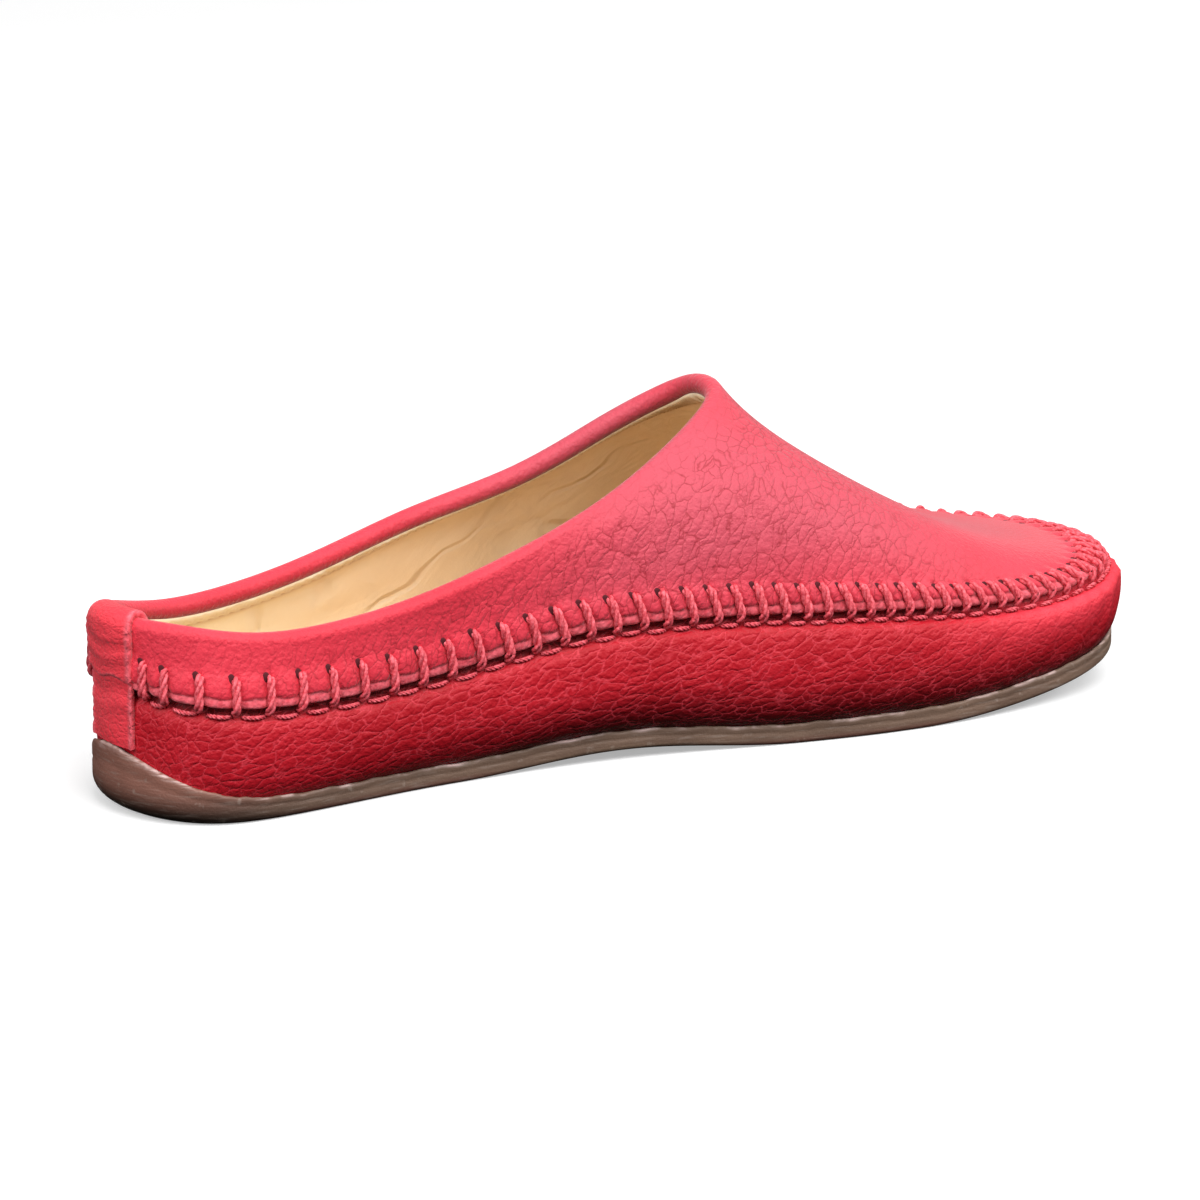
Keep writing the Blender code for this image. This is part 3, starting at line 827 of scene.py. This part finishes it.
# %% Apron over the collar
collar = roll_points(AROUND, np.linspace(0, pi, 11)[1:], 0.05 * MM)
turned_in = ((0.8, 0.1), (1.5, -0.2), (1.8, -1.0))
collar = collar + [inner_face(AROUND, d * MM, e * MM) for d, e in turned_in]
from_rim = (RIM_ROW - apron_rows) * above
toe_top = toe_share * smooth_step((from_rim / above - 0.30) / 0.4)
at_quarter = smooth_step((70 * MM - at_heel_back) / (40 * MM))
at_collar = 0.6 * smooth_step(1.3 - from_rim / (5 * MM))
calm = np.maximum(at_collar, np.maximum(0.85 * toe_top, 0.5 * at_quarter))
calm = np.concatenate([calm, np.full((len(collar), COLUMNS_ROUND), 0.75)])
# Painted shade on the inner side of the collar's roll, darkest where it turns in.
shade = np.zeros(len(calm))
shade[-8:] = np.linspace(0.1, 0.9, 8)
# Painted highlight: the instep is mixed towards a paler, lit colour, less round the toe and near
# the seam.
x_share = wall_point(AROUND, apron_rows)[..., 0] / LENGTH
at_instep = smooth_step((x_share - 0.28) / 0.25) * (1 - 0.45 * toe_share)
at_instep = at_instep * (0.3 + 0.7 * smooth_step((apron_rows - SEAM_ROW) / 0.45))
painted_light = np.concatenate([at_instep, np.tile(at_instep[-1], (len(collar), 1))])
cut = np.zeros(len(calm))
cut[3:9] = 1.0  # from the lowest loop of the edge to its upper corner
apron = grid_piece(
    "apron", np.concatenate([apron_grid, collar]), apron_leather,
    {"calm": calm, "cut": cut[:, None], "shade": shade[:, None], "painted_light": painted_light},
)
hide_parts("upper")

# %% [markdown]
# ## Lining
#
# Inside, the shoe is lined with soft tan leather. A narrow facing runs along the top: its turned
# edge is pale and its skin is puckered slantwise. Below a fold line the lining lies in loose
# shallow wrinkles. Bump alone would look painted on, so the puckers and the wide ripples are in the
# mesh, and the small wrinkles and the grain are bump.

# %% Lining material
TAN, WORN_TAN = colour(0.95, 0.73, 0.47), colour(0.798, 0.6132, 0.3948)
DEEP_TAN, PALE_TAN = colour(0.52, 0.28, 0.13), colour(0.96, 0.82, 0.60)
HEEL_LIT_TAN = colour(1.0, 0.86, 0.60)


def tan_leather(name, wrinkle):
    """Soft leather with loose wrinkles of this depth."""
    material, at, mark, fill = new_material(name)
    loose = at.shaken(60, 14 * MM).drawn((0, -28, 0), 2.4)
    soft = loose.noise(70, 4)
    vein = loose.cells(52).band(0.08, 0.0) * at.noise(36).band(0.42, 0.62)
    worn_and_heel_lit = at.noise(22).band(0.35, 0.7).mix(TAN, WORN_TAN)
    # Painted light: the lining is paler towards the heel, where more light falls in over the low
    # collar.
    worn_and_heel_lit = at.axis(0).band(-0.03, -0.11).mix(worn_and_heel_lit, HEEL_LIT_TAN)
    shaded = (vein * 0.13).most(mark("line")).mix(worn_and_heel_lit, DEEP_TAN)
    fine_grain = bump(at.noise(2400, 2), 0.1 * MM, 0.3)
    fill(
        Base_Color=mark("pale").mix(shaded, PALE_TAN),
        Roughness=0.58,
        Normal=bump(soft - vein * 0.3, wrinkle, 0.75, fine_grain),
    )
    return material


lining_leather = tan_leather("lining_leather", 2.8 * MM)
insole_leather = tan_leather("insole_leather", 0.7 * MM)

# %% Lining
FACING = (
    (1.2, -0.9), (1.0, 0.0), (1.4, 0.3), (2.4, 0.36), (3.6, 0.36), (4.8, 0.36), (5.5, 0.3),
    (6.0, 0.05), (6.5, -0.02), (7.5, 0.05),
)
LINE = (0, 0, 0, 0, 0.05, 0.1, 0.3, 0.85, 0.5, 0.1)
EDGE_PALE = (0, 0.9, 1.0, 0.4, 0.1, 0.1, 0.1, 0, 0, 0)
PUCKER, RIPPLE, LAST_ROW = 0.34 * MM, 0.36 * MM, 0.22
facing, facing_lines_and_pucker_shade = [], []
for (down_mm, proud), line in zip(FACING, LINE):
    slant = (spaced + 0.9 * down_mm * MM) / (3.1 * MM) * 2 * pi + 0.8 * np.sin(spaced / (9 * MM))
    pucker = PUCKER * np.sin(slant) * smooth_step((down_mm - 1.6) / 1.5) * (down_mm < 6)
    facing.append(inner_face(AROUND, down_mm * MM, proud * MM + pucker))
    # Painted shade that follows the puckers, added to the facing's dark line.
    facing_lines_and_pucker_shade.append(line + 0.35 * np.clip(pucker / PUCKER, 0, 1))
start = RIM_ROW - FACING[-1][0] * MM / above
body = []
for share in np.linspace(0, 1, 46)[1:]:
    point, normal, _ = wall_frame(AROUND, start + (LAST_ROW - start) * share)
    x, z = point[:, 0], point[:, 2]
    wave = np.sin(x / (6.5 * MM) - 5 * z / (16 * MM)) * np.sin(x / (21 * MM) + z / (9 * MM) + 1.0)
    ripple = RIPPLE * (1 + wave) * smooth_step(share * 6) * smooth_step((1 - share) * 4)
    body.append(point - (WALL + 0.1 * MM + ripple)[:, None] * normal)
line_mark = np.concatenate([facing_lines_and_pucker_shade, np.zeros((len(body), COLUMNS_ROUND))])
pale_mark = np.append(EDGE_PALE, np.zeros(len(body)))[:, None]
lining = grid_piece(
    "lining", np.array(facing + body), lining_leather,
    {"line": line_mark, "pale": pale_mark},
)
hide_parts("upper")

# %% [markdown]
# ## Insole
#
# The insole lies in the bottom of the shoe, dished to cup the foot, and is skinned with the same
# tan leather, glued down tight. A filled outline would be flat. The grid goes from its lower edge
# up the wall and then inwards in shrinking loops, each lower than the last.

# %% Insole
INSOLE_THICKNESS, INSOLE_EDGE = 3.0 * MM, 1.5 * MM


def outward_at(places):
    """Level directions out of the shoe."""
    flat = widest_line(places)[1]
    return np.column_stack([flat, np.zeros(len(places))])


def middle_line(ring):
    """Halfway between the two sides of a ring that starts at the heel."""
    return (ring + np.roll(ring[::-1], 1, 0)) / 2


places = AROUND[::2]
outward = outward_at(places)
foot = wall_point(places, SOLE_ROW) - GAP * outward
step = foot + np.array([0, 0, WALL + GAP])
point, normal, _ = wall_frame(places, 0.4)
lapped = point - (WALL + GAP) * normal
rounded = lapped - INSOLE_EDGE * outward + np.array([0, 0, INSOLE_EDGE / 3])
middle = middle_line(rounded)
loops = [foot, step, lapped, rounded]
for share in (0.04, 0.1, 0.18, 0.28, 0.4, 0.52, 0.64, 0.76, 0.88, 1.0):
    ring = rounded + (middle - rounded) * share
    bed = underside(ring[:, 0], ring[:, 1]) + SOLE_THICKNESS + INSOLE_THICKNESS
    ring[:, 2] = bed + (rounded[:, 2] - bed) * (1 - share) ** 4
    loops.append(ring)
rim_line = np.zeros(len(loops))
rim_line[5] = 0.3
insole = grid_piece(
    "insole_cover", np.array(loops), insole_leather,
    {"line": rim_line[:, None], "pale": 0.0},
)
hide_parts("insole")

# %% [markdown]
# ## Rubber
#
# The sole is one rubber moulding, taupe along the sides and browner at the heel. A plain colour
# would look wrong: the side has fine streaks from the mould, small pits and rubbed spots, and
# cement squeezed out along its top edge. Noise stretched along the floor gives the streaks.

# %% Rubber material
rubber, at, mark, fill = new_material("sole_rubber")
streaks = at.node("ShaderNodeMapping", {}, {"Vector": at, "Scale": (0.10, 0.10, 1.0)})
streaks = Place(streaks.tree, streaks.socket)
mottle = at.noise(60, 5).band(0.3, 0.75)
side = mottle.mix(colour(0.20, 0.124, 0.086), colour(0.14, 0.081, 0.054))
brown = mottle.mix(colour(0.29, 0.125, 0.090), colour(0.20, 0.080, 0.056))
level = at.axis(2)
# Painted shade: the heel's bumper darkens towards the floor, where its underside curves away from
# the light.
heel = level.band(0.0095, 0.001).mix(brown, colour(0.022, 0.011, 0.007))
low_edge = level.band(0.0022, 0.0002).mix(side, colour(0.15, 0.060, 0.045))
toned = mark("heel").mix(low_edge, heel)
streaked = (streaks.noise(1500, 3).band(0.50, 0.78) * 0.30).mix(toned, colour(0.38, 0.31, 0.27))
rubbed = (at.noise(420, 3).band(0.62, 0.74) * 0.30).mix(streaked, colour(0.45, 0.36, 0.31))
fibrous = streaks.noise(1100, 4).band(0.38, 0.56) * at.noise(140, 3).band(0.40, 0.60)
cemented = (mark("cement") * fibrous).mix(rubbed, colour(0.64, 0.46, 0.43))
pits = bump(at.noise(1500, 3), 0.18 * MM, 0.5)
fill(
    Base_Color=cemented,
    Roughness=0.5 + mottle * 0.15,
    Normal=bump(streaks.noise(900, 4), 0.22 * MM, 0.6, pits),
)

# %% [markdown]
# ## Outsole
#
# The moulding is a thin band along the sides that turns up round the heel as a bumper. It could be
# cut out of a block, but its top edge follows the wall above it, so it is built from the same
# table: up the rounded corner, over the lip, down the wall's face and across underneath.

# %% Sizes of the sole
LIP_HEIGHT, BUMPER_HEIGHT, BUMPER_REACH = 0.7 * MM, 14 * MM, 9 * MM
BUMPER_THICKNESS, BUMPER_CORNER, CORNER_REACH = 0.8 * MM, 9.3 * MM, 12 * MM
SOLE_CORNER, LIP_THICKNESS = 1.2 * MM, 0.8 * MM


def heel_share(x, reach):
    return np.exp(-np.clip(x, 0, None) / reach)


def lip_row(places):
    """The row up the wall that the sole's lip reaches, highest at the back of the heel."""
    plan, _ = widest_line(places)
    lip = LIP_HEIGHT + BUMPER_HEIGHT * heel_share(plan[..., 0], BUMPER_REACH)
    return np.arccos(1 - lip / SWELL_HEIGHT) / (pi / 2)


print("the bumper comes", round((LIP_HEIGHT + BUMPER_HEIGHT) / MM, 1), "mm up the heel")

# %% Face against the wall
SOLE_COLUMNS = 720
places = place_at(SEAM_LENGTH * np.arange(SOLE_COLUMNS) / SOLE_COLUMNS)
outward = outward_at(places)
inner = []
for share in (0.0, 0.1, 0.25, 0.4, 0.55, 0.7, 0.85, 1.0):
    point, normal, _ = wall_frame(places, share * lip_row(places))
    inner.append(point + 0.1 * MM * normal)
at_heel = heel_share(inner[0][:, 0], CORNER_REACH)
side_top = inner[-1] + (LIP_THICKNESS + BUMPER_THICKNESS * at_heel)[:, None] * outward
corner = SOLE_CORNER + BUMPER_CORNER * at_heel
ground = underside(side_top[:, 0], side_top[:, 1])
print("the corner is rounded by up to", round(corner.max() / MM, 1), "mm")

# %% Outsole
profile = []
for turn in np.linspace(0, pi / 2, 10):
    point = side_top - (corner * (1 - np.sin(turn)))[:, None] * outward
    point[:, 2] = ground + corner * (1 - np.cos(turn))
    profile.append(point)
profile[0][:, 2] = underside(profile[0][:, 0], profile[0][:, 1])
lip = side_top.copy()
lip[:, 2] += (0.13 * np.sin(places * 310) + 0.09 * np.sin(places * 733 + 2)) * MM
for share in (0.2, 0.4, 0.5, 0.6, 0.8, 0.93):
    groove = 0.14 * MM if share == 0.5 else 0.0
    profile.append(profile[9] + (lip - profile[9]) * share - groove * outward)
profile.append(lip - 0.15 * MM * outward)
profile.append(lip - 0.45 * MM * outward + np.array([0, 0, 0.18 * MM]))
middle = middle_line(profile[0])
under = []
for share in (1.0, 0.85, 0.7, 0.55, 0.4, 0.25, 0.12, 0.04):
    ring = profile[0] + (middle - profile[0]) * share
    ring[:, 2] = underside(ring[:, 0], ring[:, 1])
    under.append(ring)
shell = np.array(under + profile + inner[::-1])
cement = np.zeros(len(shell))
cement[len(under) + 15: len(under) + 20] = (0.5, 1, 1, 0.9, 0.5)
outsole = grid_piece(
    "outsole_rubber", shell, rubber,
    {"cement": cement[:, None], "heel": smooth_step((0.058 - shell[..., 0]) / 0.055)},
)
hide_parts("outsole")

# %% [markdown]
# ## Back strip
#
# A strip of the same leather covers the join at the back of the heel. It runs up from the bumper,
# over the collar and a little way down inside, and is doubled near the top, where a second layer
# ends in a step. Its edges are cut: pale, thick and ragged. A solidified plane would have clean
# edges, so the strip is two sheets of points, the outer one thickened and jagged along its edges.

# %% Sizes of the strip
STRIP_WIDTH, STRIP_THICKNESS, TAB_THICKNESS = 16 * MM, 1.1 * MM, 0.6 * MM
TAB_LENGTH, TAB_INSIDE = 11 * MM, 10 * MM
across = np.sin(np.linspace(pi / 2, -pi / 2, 49)) * STRIP_WIDTH / 2
near_heel = np.linspace(-0.05, 0.05, 81)


def heel_places(row, ys):
    """The places near the back of the heel where a row has these y values."""
    return np.interp(-ys, -wall_point(near_heel, row)[:, 1], near_heel)


print("the strip is", round(STRIP_WIDTH / MM), "mm wide")

# %% Back strip
under, over, turned = [], [], []
low = lip_row(0.0) + 0.02
from_edge = STRIP_WIDTH / 2 - np.abs(across)
for share in np.linspace(0, 1, 90):
    row = low + (RIM_ROW - low) * share
    at_row = heel_places(row, across)
    point, normal, _ = wall_frame(at_row, row)
    down = np.linalg.norm(point - wall_point(at_row, RIM_ROW), axis=-1)
    tab_end = TAB_LENGTH + 0.5 * MM * np.sin(across / (1.7 * MM))
    doubled = smooth_step((tab_end - down) / (0.5 * MM) + 1)
    wrinkle = 0.0
    for size, wave, spot, spread in ((0.2, 0.8, 5, 5), (0.28, 1.3, 16, 4), (0.22, 1.6, 31, 6)):
        phase = down / (wave * MM) + np.sin(across / (3.1 * MM) + spot)
        wrinkle = wrinkle + size * np.sin(phase) * bell(down / MM - spot, spread)
    cord_edge = bell(from_edge, 0.9 * MM)
    jag = 0.30 + 0.10 * sin(share * 43) + 0.05 * sin(share * 101 + 1)
    thick = (wrinkle * (1 - cord_edge) + cord_edge * jag) * MM
    under.append(point + 0.1 * MM * normal)
    over.append(point + (STRIP_THICKNESS + TAB_THICKNESS * doubled + thick)[:, None] * normal)
    turned.append(bell(down - tab_end - 0.2 * MM, 0.45 * MM))
print("it starts at row", round(low, 2))

# %% Strip over the collar
at_row = heel_places(RIM_ROW, across)
for turn in np.linspace(0, pi, 15)[1:-1]:
    under.extend(roll_points(at_row, [turn], 0.1 * MM))
    over.extend(roll_points(at_row, [turn], STRIP_THICKNESS + TAB_THICKNESS))
for deep in np.linspace(0, TAB_INSIDE, 16):
    under.append(inner_face(at_row, deep, 0.1 * MM))
    over.append(inner_face(at_row, deep, STRIP_THICKNESS))
under, over = np.array(under), np.array(over)
turned = np.concatenate([turned, np.zeros((len(over) - len(turned), len(across)))])
steps = np.arange(len(over))
jag = (np.sin(steps * 0.62) * 0.10 + np.sin(steps * 0.27) * 0.12) * MM
over[:, :3, 1] += jag[:, None]
over[:, -3:, 1] += jag[::-1, None]
raw_edge = np.broadcast_to(np.clip(1.25 - from_edge / (1.0 * MM), 0, 1), over.shape[:2])
cut_strip = np.concatenate([np.maximum(raw_edge, 0.8 * turned), 0.6 + 0 * under[..., 0]], 1)
strip = grid_piece(
    "back_strip_leather", np.concatenate([over, under[:, ::-1]], 1), strip_leather,
    {"calm": 0.3, "cut": cut_strip},
)
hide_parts("back_strip")

# %% [markdown]
# ## Thread
#
# The thread is thick waxed cord of three strands twisted together. A plain tube would lose the
# twist that shows in the photograph, so each strand is a tube of its own, wound round the thread's
# path as a helix. The directions along the path come from the wall's own, so the thread never
# twists by accident.

# %% Thread material
cord, at, _, fill = new_material("waxed_thread")
fuzz = at.noise(1500, 4)
tone = fuzz.band(0.30, 0.72).mix(colour(0.56, 0.032, 0.052), colour(0.88, 0.155, 0.19))
fill(Base_Color=tone, Roughness=0.6, Normal=bump(fuzz, 0.1 * MM, 0.6))

# %% Twisting three strands
THREAD, PITCH = 2.05 * MM, 8.6 * MM
STRAND_SHARE = 0.26


def twisted(path, side_way, widths, pitch, phase):
    """Three strands wound round a path, as tubes of points (along, round, xyz)."""
    run = unit(np.gradient(path, axis=0))
    side_way = unit(side_way - (side_way * run).sum(1, keepdims=True) * run)
    lift_way = np.cross(run, side_way)
    far = travelled(path)
    ring = np.linspace(0, 2 * pi, 8)[:-1]
    ring_way = np.cos(ring)[:, None] * side_way[:, None] + np.sin(ring)[:, None] * lift_way[:, None]
    strands = []
    for strand in (0, 2 * pi / 3, 4 * pi / 3):
        angle = (2 * pi * far / pitch + strand + phase)[:, None]
        swing = np.cos(angle) * side_way + np.sin(angle) * lift_way
        centre = path + widths[:, None] * STRAND_SHARE * swing
        strands.append(centre[:, None] + widths[:, None, None] * STRAND_SHARE * ring_way)
    return strands


print("the thread is", THREAD / MM, "mm thick and turns once in", round(PITCH / MM, 1), "mm")

# %% Tubes to a mesh


def tubes_piece(name, tubes, material):
    """One mesh from many tubes of points."""
    faces, count = [], 0
    for tube in tubes:
        index, sides = loop_faces(tube, count)
        faces.extend([*sides, index[0][::-1].tolist(), index[-1].tolist()])
        count += index.size
    points = np.concatenate([tube.reshape(-1, 3) for tube in tubes])
    return add_piece(name, points, faces, material)

# %% [markdown]
# ## Whip stitches
#
# Each stitch leans a little: its top is nearer the toe than its foot, more so at the corners of the
# toe and not at all at the tip. Copies of one stitch would look machine-made, so a seeded dice
# changes each one's height, lean and twist a little. The path is a short list of heights and lifts,
# read smoothly from the hole in the apron to the hole in the wrap.

# %% Whip stitches
STITCH_HEIGHT, STITCH_FOOT = 7.0 * MM, 0.6 * MM
HEIGHTS = (1.0, 0.99, 0.95, 0.86, 0.72, 0.55, 0.38, 0.22, 0.10, 0.0, -0.08, -0.13, -0.16)
LIFTS = (-1.7, -0.5, 0.35, 0.72, 0.85, 0.95, 1.05, 1.12, 1.08, 0.75, 0.05, -0.8, -1.9)
WIDTHS = (0.35, 0.8, *(1.0,) * 8, 0.95, 0.75, 0.35)
knots, points_on = np.arange(len(HEIGHTS)), np.linspace(0, len(HEIGHTS) - 1, 34)
height_path = np.interp(points_on, knots, HEIGHTS)
lift_path = np.interp(points_on, knots, LIFTS) * MM
width_path = np.interp(points_on, knots, WIDTHS)
dice = np.random.default_rng(7)
tubes, holes = [], []
for stitch in STITCHES:
    side_sign = 1 if stitch < TOE_DISTANCE else -1
    x = wall_point(place_at(stitch), SEAM_ROW)[0] / LENGTH
    at_toe = smooth_step((x - 0.62) / 0.3)
    lean = -(0.7 + 0.9 * at_toe) * (1 - smooth_step((x - 0.93) / 0.07))
    where = stitch + (lean * side_sign + dice.normal(0, 0.22)) * MM * (0.5 - height_path)
    at_stitch = place_at(where)
    tall = STITCH_HEIGHT * (1 - 0.16 * at_toe) * (1 + dice.normal(0, 0.035))
    heights = height_path * tall - STITCH_FOOT
    point, normal, up = wall_frame(at_stitch, rows_at(at_stitch, heights))
    path = point + lift_path[:, None] * normal
    side_way = np.cross(normal, up)
    thickness = THREAD * (1 - 0.1 * at_toe) * (1 + dice.normal(0, 0.04)) * width_path
    tubes.extend(twisted(path, side_way, thickness, PITCH, dice.uniform(0, 6)))
    holes.append((point[0], normal[0], up[0], side_way[0] * side_sign))
tubes_piece("whip_stitches", tubes, cord)

# %% [markdown]
# ## Running stitch
#
# Under the apron's edge thinner thread runs along the wrap from one whip stitch to the next, half
# buried in the leather. A tube laid on top would look stuck on, so the same twist follows a path
# that rises out of the wrap between two stitches and dives back in.

# %% Running stitch
RUN_DEPTH, RUN_THREAD, RUN_PITCH = 2.35, 1.1 * MM, 2.9 * MM
tubes = []
for first, last in zip(STITCHES[:-1], STITCHES[1:]):
    t = np.linspace(0.16, 0.84, 14)
    at_run = place_at(first + (last - first) * t)
    depth_down = (RUN_DEPTH + 0.2 * np.sin(pi * t) + dice.normal(0, 0.12)) * MM
    point, normal, up = wall_frame(at_run, rows_at(at_run, -depth_down))
    bow = (-2.9 + 2.6 * np.sin(pi * t) ** 0.5) * MM
    widths = RUN_THREAD * (0.6 + 0.4 * np.sin(pi * t))
    path = point + bow[:, None] * normal
    tubes.extend(twisted(path, up, widths, RUN_PITCH, dice.uniform(0, 6)))
tubes_piece("running_stitch", tubes, cord)

# %% [markdown]
# ## Stitch holes
#
# The thread pulls each hole open, and it shows as a small dark slot beside the stitch. A Boolean
# would cut a real hole through a hundred places of a fine mesh. A thin dark lens laid on the
# leather, painted shade that stands for the inside of the hole, looks the same at this size.

# %% Stitch holes
# Painted shade: a dark lens stands in for the shadow inside each hole.
dark, at, _, fill = new_material("hole_painted_shade")
fill(
    Base_Color=at.noise(800).mix(colour(0.05, 0.002, 0.005), colour(0.11, 0.004, 0.010)),
    Roughness=0.9,
)
tubes = []
ring = np.linspace(0, 2 * pi, 13)[:-1]
for centre, normal, up, side_way in holes:
    around = np.cos(ring)[:, None] * side_way * 0.85 + np.sin(ring)[:, None] * up * 1.15
    middle = centre + 0.2 * MM * up + 0.9 * MM * side_way
    lens = ((1.0, -0.25), (0.98, 0.05), (0.55, 0.11), (0.12, 0.13))
    rings = [middle + size * MM * around + deep * MM * normal for size, deep in lens]
    tubes.append(np.array(rings)[:, ::-1])
tubes_piece("stitch_holes", tubes, dark)

# %% [markdown]
# ## Finish
#
# The visual model has to stay within the solids' box, apart from what thread and leather stand
# proud.
